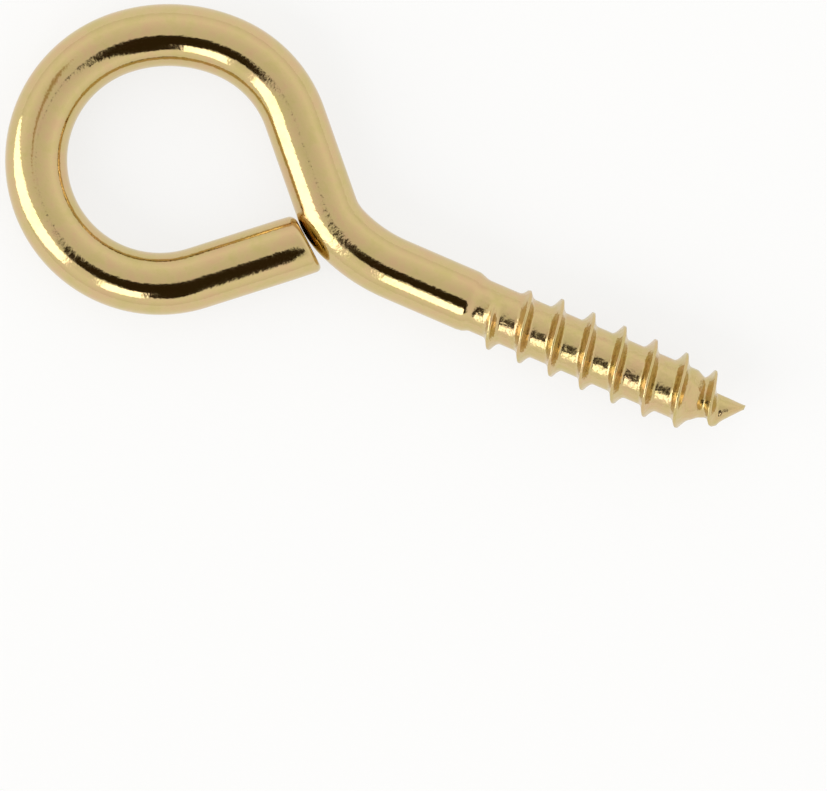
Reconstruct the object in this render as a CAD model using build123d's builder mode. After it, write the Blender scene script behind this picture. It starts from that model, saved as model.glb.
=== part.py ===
"""Screw eye: one piece of steel wire, bent to an eye at one end and rolled to a wood-screw thread.

Frame: origin at the centre of the eye, +X along the shank to the point, +Y across the eye on the
side where the neck stands, +Z up. The piece lies on its side, as it comes to rest.
Lengths are in millimetres and angles in degrees.
"""

from build123d import *

import os
from math import asin, atan2, ceil, cos, degrees, hypot, radians, sin, tan

# --- driving dimensions -------------------------------------------------------------------------

overall_length = 38.0  # from the far side of the eye to the point
wire_diameter = 3.0

# The eye, from the neck round to the free end. Radii are those of the wire's middle line.
shoulder_radius = 5.7  # where the wire leaves the neck's straight leg
shoulder_angle = 46.2
crown_radius = 7.35  # a flatter stretch past the shoulder
crown_angle = 42.6
eye_radius = 5.95  # the rest of the turn, centred on the origin
free_leg_angle = 41.0  # between the free leg and the shank
end_gap = 0.05  # between the free end and the neck
end_lean = 10.0  # of the sheared end, to follow the neck's bend
end_rounding = 0.6  # on its edge

# The neck, which brings the wire from the side of the eye back into line with its centre
nip_radius = 3.2  # the tight bend next to the straight leg
nip_angle = 24.3
run_radius = 7.9  # the easy bend next to the shank
run_angle = 23.0
shank_offset = 0.33  # how far the shank's middle line passes from the centre of the eye
shank_length = 3.78  # its plain part; the thread takes up the rest of the overall length

# The rolled thread: right-handed, one start
crest_rise = 0.375  # how far its crest stands out from the wire's surface
root_sink = 0.175  # how far its root is pressed in under that surface
pitch = 1.63
draw_down = 0.7  # length over which the shank narrows to the root
run_out = 2.1  # length over which the ridge rises to its full height
ridge_width = 1.2  # across the foot of the ridge at its full height

# The gimlet point, in distances back from its tip
taper_start = 2.6  # the core narrows to the nib
taper_end = 1.6
fade_start = 2.4  # the ridge comes down to the nib
fade_end = 0.9
nib_length = 0.65
nib_diameter = 1.42
tip_offset = 0.5  # how far off the middle line the nib is pinched to a tip
tip_diameter = 0.12
tip_angle = 70.0  # where round the shank the ridge would reach the tip, from +Y towards +Z

# Construction of the ridge
stations_per_turn = 9
break_height = 0.5  # share of its height at which each flank eases off to a foot
break_width = 0.33  # share of its half width at that height
foot_depth = 0.04  # how deep its feet are let into the core
keel_depth = 0.25  # how deep its middle is let in below the feet
end_depth = 0.01  # how deep its crest lies under the core's surface at both ends
least_share = 0.3  # of its full width, where it is lowest

# --- what follows from them ---------------------------------------------------------------------

wire_radius = wire_diameter / 2
crest_radius = wire_radius + crest_rise
root_radius = wire_radius - root_sink
nib_radius = nib_diameter / 2
neck_angle = nip_angle + run_angle
tip_x = overall_length - eye_radius - wire_radius
shank_axis = Axis((0, -shank_offset, 0), (1, 0, 0))

# --- the wire's middle line ---------------------------------------------------------------------

with BuildLine() as middle_line:
    # From the eye back to the shank
    eye_start = 90 - neck_angle + shoulder_angle + crown_angle
    eye = CenterArc((0, 0), eye_radius, eye_start, 270 + free_leg_angle - eye_start)
    crown = JernArc(eye @ 0, -(eye % 0), crown_radius, -crown_angle)
    shoulder = JernArc(crown @ 1, crown % 1, shoulder_radius, -shoulder_angle)
    nip_drop = nip_radius * (cos(radians(run_angle)) - cos(radians(neck_angle)))
    run_drop = run_radius * (1 - cos(radians(run_angle)))
    leg_drop = (shoulder @ 1).Y + shank_offset - nip_drop - run_drop
    leg = PolarLine(shoulder @ 1, leg_drop / sin(radians(neck_angle)), -neck_angle)
    nip = JernArc(leg @ 1, leg % 1, nip_radius, nip_angle)
    run = JernArc(nip @ 1, nip % 1, run_radius, run_angle)
    shank = PolarLine(run @ 1, shank_length, 0)

    # The free leg ends where its sheared and rounded end would come within the gap of the neck
    keep_out = Wire([leg, nip, run, shank]).offset_2d(
        wire_radius + end_gap + end_rounding, side=Side.RIGHT, closed=False
    )
    across = Vector(0, wire_radius - end_rounding).rotate(Axis.Z, free_leg_angle)
    lag = across.length * tan(radians(end_lean))
    reaches = [
        PolarLine((eye @ 1) + share * across, keep_out, free_leg_angle, mode=Mode.PRIVATE).length
        + share * lag
        for share in (-1, -0.5, 0, 0.5, 1)
    ]
    free_reach = min(reaches) + end_rounding / cos(radians(end_lean))
    free_leg = PolarLine(eye @ 1, free_reach, free_leg_angle, mode=Mode.PRIVATE)

# --- the thread's form --------------------------------------------------------------------------

shank_end = (shank @ 1).X
thread_start = shank_end + draw_down  # the first trace of the ridge


def between(x, x0, x1, y0, y1):
    """The value at x on the line from (x0, y0) to (x1, y1), held level past both ends."""
    share = min(max((x - x0) / (x1 - x0), 0), 1)
    return y0 + share * (y1 - y0)


def core_radius(x):
    """Radius of the threaded part without its ridge."""
    if x < tip_x - taper_start:
        return between(x, shank_end, thread_start, wire_radius, root_radius)
    return between(x, tip_x - taper_start, tip_x - taper_end, root_radius, nib_radius)


def ridge_radius(x):
    """Radius at the crest of the ridge, which starts and ends just inside the core."""
    if x < tip_x - fade_start:
        sunk = root_radius - end_depth
        return between(x, thread_start, thread_start + run_out, sunk, crest_radius)
    sunk = nib_radius - end_depth
    return between(x, tip_x - fade_start, tip_x - fade_end, crest_radius, sunk)


def ridge_section(x):
    """The ridge's section in the plane through the shank's middle line, with its crest at x."""
    angle = radians(tip_angle - 360 * (tip_x - x) / pitch)
    radial = Vector(0, cos(angle), sin(angle))
    crest = ridge_radius(x)
    share = (crest - core_radius(x)) / (crest_radius - root_radius)
    half_width = max(share, least_share) * ridge_width / 2
    feet = [
        (core_radius(x + side * half_width) - foot_depth, side * half_width) for side in (-1, 1)
    ]
    keel = (min(radius for radius, _ in feet) - keel_depth, 0)
    plane = Plane((x, -shank_offset, 0), x_dir=radial, z_dir=radial.cross(Vector(1, 0, 0)))
    with BuildSketch(plane) as section:
        with BuildLine():
            for radius, along in feet:
                flank_break = (radius + break_height * (crest - radius), break_width * along)
                Polyline((crest, 0), flank_break, (radius, along), keel)
        make_face()
    return section.sketch


# --- the piece, with its shank level ------------------------------------------------------------

with BuildPart() as free_end:
    with BuildSketch(Plane(eye @ 1, x_dir=(0, 0, 1), z_dir=free_leg % 1)):
        Circle(wire_radius)
    extrude(amount=free_reach + wire_radius)
    shear = Plane(free_leg @ 1, z_dir=(free_leg % 1).rotate(Axis.Z, end_lean))
    split(bisect_by=shear, keep=Keep.BOTTOM)
    sheared_face = free_end.faces().sort_by_distance(free_leg @ 1)[0]
    fillet(sheared_face.edges(), end_rounding)

with BuildPart() as level:
    with BuildSketch(Plane(shank @ 1, x_dir=(0, -1, 0), z_dir=-(shank % 1))):
        Circle(wire_radius)
    sweep(path=middle_line.line)
    add(free_end.part)

    # Core of the thread, from the shank's draw-down to the nib
    with BuildSketch():
        with BuildLine(Plane((0, -shank_offset))):
            Polyline(
                (shank_end, 0),
                (shank_end, wire_radius),
                (thread_start, root_radius),
                (tip_x - taper_start, root_radius),
                (tip_x - taper_end, nib_radius),
                (tip_x - nib_length, nib_radius),
                (tip_x - nib_length, 0),
                close=True,
            )
        make_face()
    revolve(axis=shank_axis)

    # Tip, pinched off the middle line
    with BuildSketch(Plane((tip_x - nib_length, -shank_offset, 0), z_dir=(1, 0, 0))):
        Circle(nib_radius)
    with BuildSketch(Plane((tip_x, tip_offset - shank_offset, 0), z_dir=(1, 0, 0))):
        Circle(tip_diameter / 2)
    loft()

    # Ridge of the thread, a turn at a time, back from the point
    ridge_end = tip_x - fade_end
    turns = (ridge_end - thread_start) / pitch
    for turn in range(ceil(turns)):
        share = min(turns - turn, 1)
        steps = max(round(stations_per_turn * share), 1)
        backs = [pitch * (turn + share * step / steps) for step in range(steps + 1)]
        loft([ridge_section(ridge_end - back) for back in backs])

# --- laid down ----------------------------------------------------------------------------------

# The far side of the eye and the first full crest touch one level surface
first_crest = thread_start + run_out
lever = hypot(first_crest + eye_radius, crest_radius)
tilt = degrees(atan2(crest_radius, first_crest + eye_radius) - asin(wire_radius / lever))

with BuildPart() as screw_eye:
    add(level.part, rotation=(0, -tilt, 0))

screw_eye.part.label = "screw_eye"
os.makedirs("parts", exist_ok=True)
export_step(screw_eye.part, "parts/screw_eye.step")
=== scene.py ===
"""Screw eye in bright brass plating, lying on pale card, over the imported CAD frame.

The classes hold their sizes in millimetres, in the CAD's frame: origin at the centre of the eye,
+X along the shank to the point, +Z up. MM turns them to the metres in which the meshes are made.
"""

import logging
import math
from dataclasses import dataclass, field
from enum import Enum

import bpy
from mathutils import Matrix, Vector


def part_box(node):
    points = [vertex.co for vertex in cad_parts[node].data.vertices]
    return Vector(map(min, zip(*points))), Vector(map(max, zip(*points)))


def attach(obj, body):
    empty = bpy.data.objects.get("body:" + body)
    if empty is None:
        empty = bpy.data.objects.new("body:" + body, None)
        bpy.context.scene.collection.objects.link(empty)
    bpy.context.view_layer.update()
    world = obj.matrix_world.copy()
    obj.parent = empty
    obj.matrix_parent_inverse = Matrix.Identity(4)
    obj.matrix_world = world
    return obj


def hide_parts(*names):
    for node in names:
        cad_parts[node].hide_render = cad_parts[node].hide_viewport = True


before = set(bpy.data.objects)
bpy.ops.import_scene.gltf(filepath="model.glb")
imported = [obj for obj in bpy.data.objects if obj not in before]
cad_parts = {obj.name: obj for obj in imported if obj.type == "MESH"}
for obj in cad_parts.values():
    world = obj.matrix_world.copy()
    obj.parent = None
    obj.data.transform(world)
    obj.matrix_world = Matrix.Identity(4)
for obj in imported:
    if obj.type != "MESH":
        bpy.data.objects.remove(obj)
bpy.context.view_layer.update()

MM = 0.001
NODE = "screw_eye"
AROUND = 96  # faces round the wire and round the thread

log = logging.getLogger("screw_eye")


class Turn(Enum):
    """The side to which the wire is bent, seen from above and going from the shank to the eye."""

    LEFT = 1
    RIGHT = -1


# --- helpers ------------------------------------------------------------------------------------


def linear(code: str) -> tuple[float, float, float, float]:
    """Turns an sRGB hex colour to Blender's linear one.

    Args:
        code: Six hex digits, such as "CDB680".

    Returns:
        The linear red, green, blue and an alpha of 1.
    """
    parts = [int(code[i : i + 2], 16) / 255 for i in (0, 2, 4)]
    red, green, blue = [c / 12.92 if c <= 0.04045 else ((c + 0.055) / 1.055) ** 2.4 for c in parts]
    return red, green, blue, 1.0


def ease(x: float, start: float, end: float) -> float:
    """A smooth step.

    Args:
        x: Where it is read.
        start: Where it is 0.
        end: Where it is 1.

    Returns:
        A value from 0 to 1.
    """
    share = min(max((x - start) / (end - start), 0.0), 1.0)
    return share * share * (3 - 2 * share)


def read_line(line: tuple[tuple[float, float], ...], where: float) -> float:
    """Reads a line of straight runs, held level past its ends.

    Args:
        line: Its points, from the largest place to the smallest.
        where: Where it is read.

    Returns:
        Its value there.
    """
    if where >= line[0][0]:
        return line[0][1]
    for (far, first), (near, second) in zip(line, line[1:]):
        if where >= near:
            return second + (where - near) / (far - near) * (first - second)
    return line[-1][1]


def add_node(
    tree: bpy.types.NodeTree,
    kind: str,
    settings: dict[str, object] | None = None,
    links: dict[str | int, bpy.types.NodeSocket] | None = None,
    values: dict[str | int, object] | None = None,
) -> bpy.types.Node:
    """Adds a node with its settings, links and values.

    Args:
        tree: The tree that gets the node.
        kind: The node's type name.
        settings: Its own properties.
        links: Sockets of other nodes, by the name or number of the input that they feed.
        values: Values of unlinked inputs, by name or number.

    Returns:
        The new node.
    """
    node = tree.nodes.new(kind)
    for name, value in (settings or {}).items():
        setattr(node, name, value)
    for key, value in (values or {}).items():
        node.inputs[key].default_value = value
    for key, socket in (links or {}).items():
        tree.links.new(socket, node.inputs[key])
    return node


def deselect_all() -> None:
    """Deselects every object, the CAD node among them."""
    for other in bpy.context.selected_objects:
        other.select_set(False)


def push(step: Vector) -> None:
    """Extrudes what is selected in edit mode along a step, in metres."""
    bpy.ops.mesh.extrude_region_move(TRANSFORM_OT_translate={"value": step})


# --- finishes -----------------------------------------------------------------------------------


@dataclass(frozen=True)
class BrightBrassPlating:
    """Brass electroplated on drawn steel wire, then barrel tumbled.

    It mirrors the room, warm and pale, through a skin that is a little uneven from the drawing
    and the tumbling, so that the edges of its reflections are slightly ragged. Where the metal was
    worked hardest, in the rolled thread and on the neck's tight bend, the skin is coarser and
    breaks the reflections up.
    """

    yellow: str = "D2BB87"
    rosy: str = "D4B589"
    greenish: str = "CCBA7F"
    smooth: float = 0.08  # roughness of the plain wire
    worked: float = 0.19  # roughness where the metal was worked
    cloud_mm: float = 1.3  # size of the faint clouds of colour in the plating
    cloud_grain: tuple[float, float] = (5.0, 0.7)  # finer octaves, and how strong each one is
    cloud_spread: float = 0.14  # of the noise, from the yellow to either of the other two
    peel_mm: float = 0.3  # size of the skin's waves, drawn as coarse as they need to show
    peel_grain: tuple[float, float] = (3.0, 0.6)
    peel_depth_mm: float = 0.007
    grit_mm: float = 0.26  # size of the worked skin's lumps, drawn as coarse for the same reason
    grit_grain: tuple[float, float] = (2.0, 0.5)
    grit_depth_mm: float = 0.03
    thread_mm: tuple[float, float] = (15.6, 17.6)  # x where the thread's skin sets in
    nip_mm: tuple[float, float, float] = (9.0, 0.4, 0.6)  # middle of the tight bend
    nip_reach_mm: tuple[float, float] = (2.6, 1.0)  # how far round it the skin is worked
    nip_share: float = 0.4  # how much of the thread's skin the bend has

    def worked_skin(
        self, tree: bpy.types.NodeTree, place: bpy.types.NodeSocket
    ) -> bpy.types.NodeSocket:
        """Marks where the skin was worked.

        Args:
            tree: The material's node tree.
            place: The socket with the place on the piece.

        Returns:
            A socket from 0, plain, to 1, worked.
        """
        axes = add_node(tree, "ShaderNodeSeparateXYZ", links={0: place})
        thread = add_node(
            tree,
            "ShaderNodeMapRange",
            {"interpolation_type": "SMOOTHSTEP"},
            {"Value": axes.outputs["X"]},
            {"From Min": self.thread_mm[0] * MM, "From Max": self.thread_mm[1] * MM},
        )
        away = add_node(
            tree,
            "ShaderNodeVectorMath",
            {"operation": "DISTANCE"},
            {0: place},
            {1: Vector(self.nip_mm) * MM},
        )
        nip = add_node(
            tree,
            "ShaderNodeMapRange",
            {"interpolation_type": "SMOOTHSTEP"},
            {"Value": away.outputs["Value"]},
            {
                "From Min": self.nip_reach_mm[0] * MM,
                "From Max": self.nip_reach_mm[1] * MM,
                "To Max": self.nip_share,
            },
        )
        either = add_node(
            tree,
            "ShaderNodeMath",
            {"operation": "MAXIMUM"},
            {0: thread.outputs["Result"], 1: nip.outputs["Result"]},
        )
        return either.outputs[0]

    def tint(self, tree: bpy.types.NodeTree, place: bpy.types.NodeSocket) -> bpy.types.NodeSocket:
        """Clouds the plating's colour, as its thickness and tumbling leave it.

        Args:
            tree: The material's node tree.
            place: The socket with the place on the piece.

        Returns:
            The socket with the colour.
        """
        detail, roughness = self.cloud_grain
        clouds = add_node(
            tree,
            "ShaderNodeTexNoise",
            links={"Vector": place},
            values={"Scale": 1 / (self.cloud_mm * MM), "Detail": detail, "Roughness": roughness},
        )
        tint = add_node(tree, "ShaderNodeValToRGB", links={"Fac": clouds.outputs["Fac"]})
        stops = tint.color_ramp.elements
        stops[0].position = 0.5 - self.cloud_spread
        stops[0].color = linear(self.rosy)
        stops[1].position = 0.5 + self.cloud_spread
        stops[1].color = linear(self.greenish)
        stops.new(0.5).color = linear(self.yellow)
        return tint.outputs["Color"]

    def material(self) -> bpy.types.Material:
        """Makes the plating's material.

        Returns:
            The material.
        """
        material = bpy.data.materials.new("bright_brass_plating")
        material.use_nodes = True
        tree = material.node_tree
        shader = tree.nodes["Principled BSDF"]
        shader.inputs["Metallic"].default_value = 1.0
        place = add_node(tree, "ShaderNodeTexCoord").outputs["Object"]
        tree.links.new(self.tint(tree, place), shader.inputs["Base Color"])
        worked = self.worked_skin(tree, place)
        roughness = add_node(
            tree,
            "ShaderNodeMapRange",
            links={"Value": worked},
            values={"To Min": self.smooth, "To Max": self.worked},
        )
        tree.links.new(roughness.outputs["Result"], shader.inputs["Roughness"])
        peel, grit = (
            add_node(
                tree,
                "ShaderNodeTexNoise",
                links={"Vector": place},
                values={"Scale": 1 / (size * MM), "Detail": grain[0], "Roughness": grain[1]},
            ).outputs["Fac"]
            for size, grain in ((self.peel_mm, self.peel_grain), (self.grit_mm, self.grit_grain))
        )
        waves = add_node(
            tree,
            "ShaderNodeBump",
            links={"Height": peel},
            values={"Strength": 1.0, "Distance": self.peel_depth_mm * MM},
        )
        lumps = add_node(
            tree,
            "ShaderNodeBump",
            links={"Strength": worked, "Height": grit, "Normal": waves.outputs["Normal"]},
            values={"Distance": self.grit_depth_mm * MM},
        )
        tree.links.new(lumps.outputs["Normal"], shader.inputs["Normal"])
        return material


@dataclass(frozen=True)
class MattCard:
    """Uncoated white card: pale, without gloss, and lit from behind so that it shows white."""

    white: str = "FAFAF9"
    roughness: float = 0.95
    lit_share: float = 0.75  # how much of what the eye and the metal see is plain white

    def material(self) -> bpy.types.Material:
        """Makes the card's material.

        Returns:
            The material.
        """
        material = bpy.data.materials.new("matt_white_card")
        material.use_nodes = True
        tree = material.node_tree
        shader = tree.nodes["Principled BSDF"]
        shader.inputs["Base Color"].default_value = linear(self.white)
        shader.inputs["Roughness"].default_value = self.roughness
        shader.inputs["Specular IOR Level"].default_value = 0.0
        path = add_node(tree, "ShaderNodeLightPath")
        seen = path.outputs["Is Camera Ray"]
        for ray in ("Is Glossy Ray", "Is Transmission Ray"):
            seen = add_node(
                tree, "ShaderNodeMath", {"operation": "MAXIMUM"}, {0: seen, 1: path.outputs[ray]}
            ).outputs[0]
        share = add_node(
            tree, "ShaderNodeMath", {"operation": "MULTIPLY"}, {0: seen}, {1: self.lit_share}
        )
        glow = add_node(tree, "ShaderNodeEmission", values={"Color": (1, 1, 1, 1)})
        lit = add_node(
            tree,
            "ShaderNodeMixShader",
            links={0: share.outputs[0], 1: shader.outputs[0], 2: glow.outputs[0]},
        )
        tree.links.new(lit.outputs[0], tree.nodes["Material Output"].inputs["Surface"])
        return material


# --- the screw eye ------------------------------------------------------------------------------


@dataclass
class BentWire:
    """The plain part of the wire: shank, neck and eye, up to the sheared end."""

    radius: float = 1.5
    shank_end: float = 16.247  # x at which the thread takes over
    shank_offset: float = 0.33  # how far the shank's middle line passes from the eye's centre
    shank_length: float = 3.779
    run: tuple[float, float] = (7.9, 23.0)  # radius of its middle line and angle, here and below
    nip: tuple[float, float] = (3.2, 24.3)
    leg_length: float = 4.617
    shoulder: tuple[float, float] = (5.7, 46.2)
    crown: tuple[float, float] = (7.35, 42.6)
    eye: tuple[float, float] = (5.95, 179.5)
    free_leg_length: float = 5.615
    end_lean: float = 10.0  # of the sheared end, towards the neck
    end_rounding: float = 0.32
    step_length: float = 1.17  # at most, on a straight run
    step_angle: float = 2.5  # and in a bend
    rounding_steps: int = 8
    place: Vector = field(init=False)
    heading: float = field(init=False)

    def straight(self, length: float) -> None:
        """Runs the wire straight on, in equal extrusions.

        Args:
            length: How far, in millimetres.
        """
        steps = math.ceil(length / self.step_length)
        ahead = Vector((math.cos(self.heading), math.sin(self.heading), 0)) * length
        for _ in range(steps):
            push(ahead * MM / steps)
        self.place = self.place + ahead

    def bend(self, shape: tuple[float, float], turn: Turn) -> None:
        """Bends the wire by spinning its end.

        Args:
            shape: Bend radius in millimetres and angle in degrees.
            turn: The side to which it bends.
        """
        radius, angle = shape
        side = Vector((-math.sin(self.heading), math.cos(self.heading), 0)) * turn.value
        centre = self.place + side * radius
        swing = math.radians(angle) * turn.value
        bpy.ops.mesh.spin(
            steps=math.ceil(angle / self.step_angle),
            angle=-swing,  # the operator turns clockwise
            center=centre * MM,
            axis=(0, 0, 1),
        )
        self.place = centre + Matrix.Rotation(swing, 3, "Z") @ (self.place - centre)
        self.heading += swing

    def shear(self) -> None:
        """Closes the free end at a lean and rounds its edge."""
        bpy.ops.transform.rotate(
            value=math.radians(-self.end_lean),  # it turns clockwise
            orient_axis="Z",
            center_override=self.place * MM,
        )
        bpy.ops.mesh.edge_face_add()
        bpy.ops.mesh.select_mode(type="FACE")
        bpy.ops.mesh.region_to_loop()
        bpy.ops.mesh.bevel(offset=self.end_rounding * MM, segments=self.rounding_steps, profile=0.5)

    def build(self) -> bpy.types.Object:
        """Draws the wire out from the thread and bends it.

        Returns:
            The wire, open where the thread joins it.
        """
        deselect_all()
        self.place = Vector((self.shank_end, -self.shank_offset, 0))
        self.heading = math.pi
        bpy.ops.mesh.primitive_circle_add(
            vertices=AROUND,
            radius=self.radius * MM,
            location=self.place * MM,
            rotation=(0, math.pi / 2, 0),
        )
        wire = bpy.context.object
        bpy.ops.object.transform_apply()
        bpy.ops.object.mode_set(mode="EDIT")
        bpy.ops.mesh.select_all(action="SELECT")
        self.straight(self.shank_length)
        self.bend(self.run, Turn.RIGHT)
        self.bend(self.nip, Turn.RIGHT)
        self.straight(self.leg_length)
        self.bend(self.shoulder, Turn.LEFT)
        self.bend(self.crown, Turn.LEFT)
        self.bend(self.eye, Turn.LEFT)
        self.straight(self.free_leg_length)
        self.shear()
        bpy.ops.object.mode_set(mode="OBJECT")
        log.info("wire ends at %.3f, %.3f", self.place.x, self.place.y)
        return wire


@dataclass
class RolledThread:
    """The threaded part, from the shank's draw-down to the gimlet point."""

    start: float = 16.947  # x of the first trace of the ridge
    tip: float = 30.55  # x of the point
    wire_radius: float = 1.5
    root_radius: float = 1.325
    crest_radius: float = 1.875
    pitch: float = 1.63
    tip_angle: float = 70.0  # where round the shank the ridge would reach the tip, from +Y to +Z
    draw_down: float = 0.7
    run_out: float = 2.1
    lead: float = 0.3  # how far before its first trace the ridge starts to swell
    land: float = 0.05  # half of the crest's width
    foot: float = 0.46  # from the crest to where the flank has come down to the root
    flank_power: float = 2.1  # how hollow the flanks are
    late: float = 0.9  # how much later than its mean the ridge rises on the +Y side
    drift: float = 0.08  # how far the crest runs ahead of a true helix on the -Y side
    shortfall: float = 0.08  # and how much lower it stands there
    core_line: tuple[tuple[float, float], ...] = (  # radius of the core, at distances from the tip
        (2.75, 1.325),
        (2.2, 1.05),
        (1.9, 0.8),
        (1.6, 0.67),
        (0.0, 0.65),
    )
    crest_line: tuple[tuple[float, float], ...] = (  # and of the crest
        (3.6, 1.875),
        (2.67, 1.74),
        (1.92, 1.64),
        (1.1, 1.0),
        (0.55, 0.65),
        (0.0, 0.65),
    )
    cut_length: float = 0.93  # of the slanting side that makes the point
    cut_from: float = -0.92  # and where across the shank it starts and ends
    cut_to: float = 0.4
    back: float = 0.65  # where across the shank the point's straight side lies
    point_width: float = 0.12  # share of the point's height that is left at its very tip
    rows: int = 36  # per pitch
    spare_turns: int = 3  # wound past the tip, and pressed together there

    @property
    def shank_end(self) -> float:
        """Where the plain wire ends."""
        return self.start - self.draw_down

    def crest_x(self, angle: float) -> float:
        """Where a crest lies, at an angle in degrees round the shank from +Y to +Z."""
        return self.tip - self.pitch * (self.tip_angle - angle) / 360

    def core(self, x: float) -> float:
        """Finds the radius of the thread's core.

        Args:
            x: Place along the shank, in millimetres.

        Returns:
            The radius there, in millimetres.
        """
        if self.tip - x < self.core_line[0][0]:
            return read_line(self.core_line, self.tip - x)
        drawn = ease(x, self.shank_end, self.start)
        return self.wire_radius + drawn * (self.root_radius - self.wire_radius)

    def off_side(self, angle: float) -> float:
        """How much an angle in radians is on the -Y side, from 0 to 1."""
        return max(-math.cos(angle), 0.0) ** 2

    def height(self, x: float, angle: float) -> float:
        """Finds the height of the ridge above the core.

        Args:
            x: Place along the shank, in millimetres.
            angle: Round the shank from +Y to +Z, in radians.

        Returns:
            The height of the crest there, in millimetres.
        """
        from_start = x - self.late * math.cos(angle)
        rising = ease(from_start, self.start - self.lead, self.start + self.run_out)
        full = read_line(self.crest_line, self.tip - x) - self.core(x)
        return max(full * rising - self.shortfall * self.off_side(angle), 0.0)

    def ridge(self, away: float) -> float:
        """The flank's share of the full height, at a distance along the shank from the crest."""
        share = (abs(away) - self.land) / (self.foot - self.land)
        return (1 - min(max(share, 0.0), 1.0)) ** self.flank_power

    def surface(self, x: float, angle: float) -> Vector:
        """A point of the thread's surface.

        Args:
            x: Place along the shank, in millimetres.
            angle: Round the shank from +Y to +Z, in radians.

        Returns:
            The point, with the shank's middle line as its X axis, in millimetres.
        """
        x = min(max(x, self.shank_end), self.tip)
        crest = self.crest_x(math.degrees(angle)) + self.drift * self.off_side(angle)
        turns = (x - crest) / self.pitch
        away = (turns - round(turns)) * self.pitch
        radius = self.core(x) + self.height(x, angle) * self.ridge(away)
        across, up = radius * math.cos(angle), radius * math.sin(angle)
        nearing = 1 - (self.tip - x) / self.cut_length
        if nearing > 0:
            cut = self.cut_from + nearing * (self.cut_to - self.cut_from)
            squeeze = (self.back - cut) / (self.back - self.cut_from)
            across = self.back - (self.back - across) * squeeze
            up *= self.point_width + (1 - self.point_width) * math.sqrt(1 - nearing**2)
        return Vector((x, across, up))

    def build(self, offset: float) -> bpy.types.Object:
        """Winds one pitch of line into a tube, then presses the thread into it.

        Args:
            offset: How far the shank's middle line passes from the eye's centre.

        Returns:
            The threaded part, open where the wire joins it.
        """
        deselect_all()
        # The line spans a crest by half a pitch either way, and starts before the wire's end
        before = math.ceil((self.crest_x(0) - self.shank_end) / self.pitch) + 1
        first = self.crest_x(0) - (before + 0.5) * self.pitch
        bpy.ops.mesh.primitive_plane_add(size=self.pitch * MM)
        tube = bpy.context.object
        bpy.ops.object.mode_set(mode="EDIT")
        bpy.ops.mesh.select_all(action="SELECT")
        bpy.ops.mesh.merge(type="CENTER")
        bpy.ops.transform.translate(value=(first * MM, self.wire_radius * MM, 0))
        for _ in range(self.rows):
            push(Vector((self.pitch * MM / self.rows, 0, 0)))
        bpy.ops.object.mode_set(mode="OBJECT")
        winding = tube.modifiers.new("winding", "SCREW")
        winding.axis = "X"
        winding.angle = math.tau
        winding.screw_offset = self.pitch * MM
        winding.iterations = before + self.spare_turns
        winding.steps = AROUND
        winding.render_steps = AROUND
        bpy.ops.object.modifier_apply(modifier=winding.name)
        for vertex in tube.data.vertices:
            x, y, z = vertex.co / MM
            vertex.co = (self.surface(x, math.atan2(z, y)) - Vector((0, offset, 0))) * MM
        return tube


@dataclass
class ScrewEye:
    """The whole screw eye: one wire, bent at one end and threaded at the other."""

    wire: BentWire
    thread: RolledThread
    finish: BrightBrassPlating
    weld: float = 0.002  # vertices nearer than this become one

    def lie_angle(self) -> float:
        """Finds the slope at which the piece rests on its eye and its first full crest.

        Returns:
            How far the shank rises, in radians.
        """
        first_crest = self.thread.start + self.thread.run_out
        reach = first_crest + self.wire.eye[0]
        lever = math.hypot(reach, self.thread.crest_radius)
        return math.atan2(self.thread.crest_radius, reach) - math.asin(self.wire.radius / lever)

    def build(self) -> bpy.types.Object:
        """Joins the wire and the thread, lays the piece down and dresses it.

        Returns:
            The finished piece.
        """
        tube = self.thread.build(self.wire.shank_offset)
        piece = self.wire.build()
        deselect_all()
        tube.select_set(True)
        piece.select_set(True)
        bpy.context.view_layer.objects.active = piece
        bpy.ops.object.join()
        piece.name = "plated_screw_eye"
        bpy.ops.object.mode_set(mode="EDIT")
        bpy.ops.mesh.select_all(action="SELECT")
        bpy.ops.mesh.remove_doubles(threshold=self.weld * MM)
        bpy.ops.mesh.select_all(action="DESELECT")
        bpy.ops.mesh.select_mode(type="VERT")
        bpy.ops.mesh.select_non_manifold()
        bpy.ops.mesh.edge_face_add()
        bpy.ops.mesh.select_all(action="SELECT")
        bpy.ops.mesh.normals_make_consistent(inside=False)
        bpy.ops.object.mode_set(mode="OBJECT")
        bpy.ops.object.shade_smooth()
        piece.data.transform(Matrix.Rotation(-self.lie_angle(), 4, "Y"))
        piece.data.materials.append(self.finish.material())
        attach(piece, "root")
        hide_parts(NODE)
        return piece


# --- the studio ---------------------------------------------------------------------------------


GAP = "312613"  # the dark room that shows between the cloths
WINDOW = "FFFFFF"  # where a lamp stands behind the cloth
WINDOW_STRENGTH = 2.8
GAP_SOFTNESS = 0.004


@dataclass(frozen=True)
class Patch:
    """A straight-edged patch of the tent: a gap, a seam or a window.

    Its corners are pairs of degrees: the tilt from straight up, and the bearing, which goes from
    the right of the camera's view towards its top. Its outline bends outwards everywhere.
    """

    colour: str
    strength: float
    corners: tuple[tuple[float, float], ...]
    softness: float = 0.012  # half of its edge's width, in radians


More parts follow.
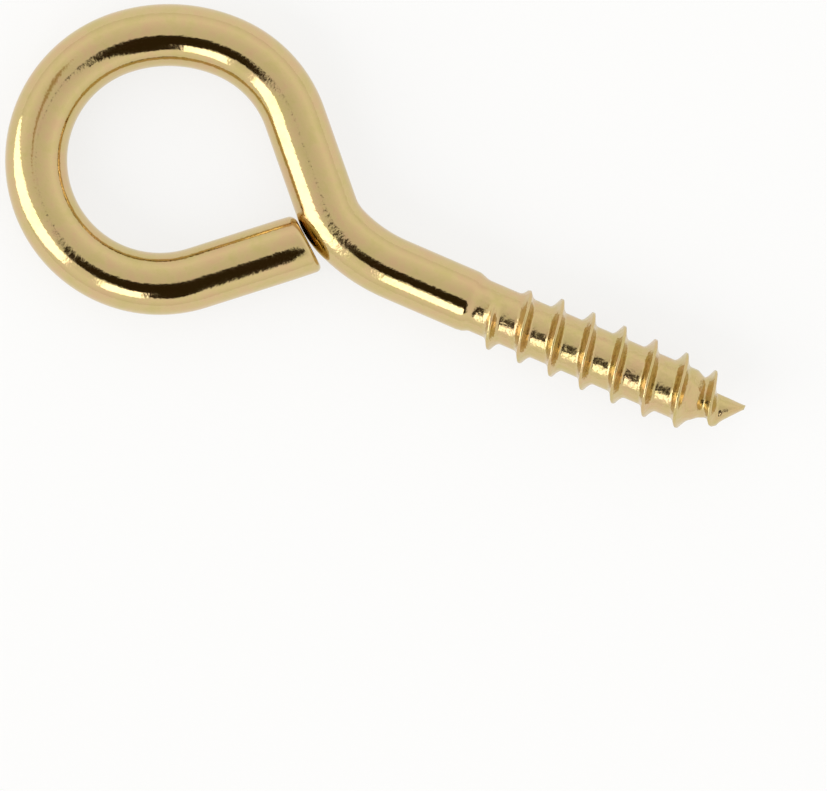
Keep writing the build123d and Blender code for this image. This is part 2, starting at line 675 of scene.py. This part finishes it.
@dataclass
class Studio:
    """A white tent over pale card, with a camera that looks straight down through its opening."""

    floor: MattCard
    lens: float = 1200.0
    sensor_width: float = 36.0
    clip_metres: tuple[float, float] = (0.01, 20.0)
    view_width: float = 39.78  # what the camera takes in, at the height of the eye's centre
    aim: tuple[float, float] = (15.69, -5.56)
    roll: float = 23.342  # from the shank to the width of the view
    tent_lean: float = 1.72  # towards the eye: twice the slope at which the piece lies
    floor_size: float = 4000.0
    cloth: tuple[tuple[float, str], ...] = (  # from straight down to straight up
        (0.0, "DEDDD9"),
        (0.5, "EEEDE8"),
        (0.65, "FCFBF6"),
        (0.75, "FFFEF9"),
        (0.9, "F1EFEA"),
        (1.0, "E6E4DE"),
    )
    patches: tuple[Patch, ...] = (
        Patch("B9A27C", 1.0, ((10, 174), (15, 180), (39, 141), (34, 133)), 0.03),  # a seam
        Patch(
            GAP,
            1.0,
            ((1.6, -112), (3, -138), (22, -141), (33, -137), (34, -119), (30, -96), (4, -80)),
            GAP_SOFTNESS,
        ),
        Patch(
            GAP,
            1.0,
            (
                (1.5, -85),
                (5, -112),
                (27, -114),
                (32, -112),
                (56, -95),
                (61, -84),
                (55, -74),
                (27, -55),
                (2.2, -50),
            ),
            GAP_SOFTNESS,
        ),
        Patch(
            WINDOW,
            WINDOW_STRENGTH,
            ((38, -134), (36, -150), (64, 173), (80, 163), (95, 163), (85, -160), (68, -134)),
        ),
        Patch(WINDOW, WINDOW_STRENGTH, ((38, -117), (38, -97), (60, -98), (64, -117))),
    )

    def direction(self, tilt: float, bearing: float) -> Vector:
        """Finds the direction to a place in the tent.

        Args:
            tilt: From straight up, in degrees.
            bearing: From the right of the camera's view towards its top, in degrees.

        Returns:
            The unit vector to it, in the CAD's frame.
        """
        flat = math.radians(bearing + self.roll)
        down = math.radians(tilt)
        level = (math.sin(down) * math.cos(flat), math.sin(down) * math.sin(flat), math.cos(down))
        return Matrix.Rotation(-math.radians(self.tent_lean), 3, "Y") @ Vector(level)

    def patch_mask(
        self, tree: bpy.types.NodeTree, ray: bpy.types.NodeSocket, patch: Patch
    ) -> bpy.types.NodeSocket:
        """Draws one patch into the world's nodes.

        Args:
            tree: The world's node tree.
            ray: The socket with the direction of a ray.
            patch: The patch.

        Returns:
            A socket that is 1 on the patch and 0 off it.
        """
        corners = [self.direction(*corner) for corner in patch.corners]
        middle = sum(corners, Vector())
        mask = None
        for start, end in zip(corners, corners[1:] + corners[:1]):
            inward = start.cross(end).normalized()
            inward = inward if inward.dot(middle) > 0 else -inward
            depth = add_node(
                tree, "ShaderNodeVectorMath", {"operation": "DOT_PRODUCT"}, {0: ray}, {1: inward}
            )
            side = add_node(
                tree,
                "ShaderNodeMapRange",
                {"interpolation_type": "SMOOTHSTEP"},
                {"Value": depth.outputs["Value"]},
                {"From Min": -patch.softness, "From Max": patch.softness},
            ).outputs["Result"]
            if mask is None:
                mask = side
            else:
                both = add_node(tree, "ShaderNodeMath", {"operation": "MULTIPLY"}, {0: mask, 1: side})
                mask = both.outputs[0]
        return mask

    def hang_tent(self) -> None:
        """Makes the world: the tent's cloth with its patches."""
        world = bpy.data.worlds.new("tent")
        bpy.context.scene.world = world
        world.use_nodes = True
        tree = world.node_tree
        tree.nodes.clear()
        ray = add_node(tree, "ShaderNodeTexCoord").outputs["Generated"]
        axes = add_node(tree, "ShaderNodeSeparateXYZ", links={0: ray})
        up = add_node(
            tree, "ShaderNodeMapRange", links={"Value": axes.outputs["Z"]}, values={"From Min": -1.0}
        )
        cloth = add_node(tree, "ShaderNodeValToRGB", links={"Fac": up.outputs["Result"]})
        stops = cloth.color_ramp.elements
        stops[0].color = linear(self.cloth[0][1])
        stops[1].color = linear(self.cloth[-1][1])
        for height, colour in self.cloth[1:-1]:
            stops.new(height).color = linear(colour)
        tone = cloth.outputs["Color"]
        for patch in self.patches:
            colour = [c * patch.strength for c in linear(patch.colour)]
            # Inputs 6 and 7 and output 2 are the node's colour ones
            tone = add_node(
                tree,
                "ShaderNodeMix",
                {"data_type": "RGBA"},
                {0: self.patch_mask(tree, ray, patch), 6: tone},
                {7: colour},
            ).outputs[2]
        tent = add_node(tree, "ShaderNodeBackground", links={"Color": tone})
        add_node(tree, "ShaderNodeOutputWorld", links={"Surface": tent.outputs[0]})

    def lay_floor(self, height: float) -> None:
        """Lays the card under the piece.

        Args:
            height: Where its top lies, in metres.
        """
        deselect_all()
        bpy.ops.mesh.primitive_plane_add(size=self.floor_size * MM, location=(0, 0, height))
        floor = bpy.context.object
        floor.name = "card_floor"
        bpy.ops.object.transform_apply()
        floor.data.materials.append(self.floor.material())

    def set_camera(self) -> None:
        """Hangs the camera over the piece, turned so that the shank slopes down to the right."""
        data = bpy.data.cameras.new("camera")
        data.lens = self.lens
        data.sensor_width = self.sensor_width
        data.clip_start, data.clip_end = self.clip_metres
        camera = bpy.data.objects.new("camera", data)
        bpy.context.scene.collection.objects.link(camera)
        distance = self.view_width * self.lens / self.sensor_width
        camera.location = Vector((*self.aim, distance)) * MM
        camera.rotation_euler = (0, 0, math.radians(self.roll))
        bpy.context.scene.camera = camera

    def build(self, height: float) -> None:
        """Sets up the floor, the light and the camera.

        Args:
            height: Where the floor's top lies, in metres.
        """
        self.lay_floor(height)
        self.hang_tent()
        self.set_camera()
        bpy.context.scene.view_settings.view_transform = "Standard"


def main() -> None:
    """Builds the screw eye and its studio."""
    logging.basicConfig(level=logging.INFO, format="%(name)s: %(message)s")
    piece = ScrewEye(BentWire(), RolledThread(), BrightBrassPlating()).build()
    log.info("%s: %d faces", piece.name, len(piece.data.polygons))
    Studio(MattCard()).build(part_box(NODE)[0].z)


if __name__ == "__main__":
    main()
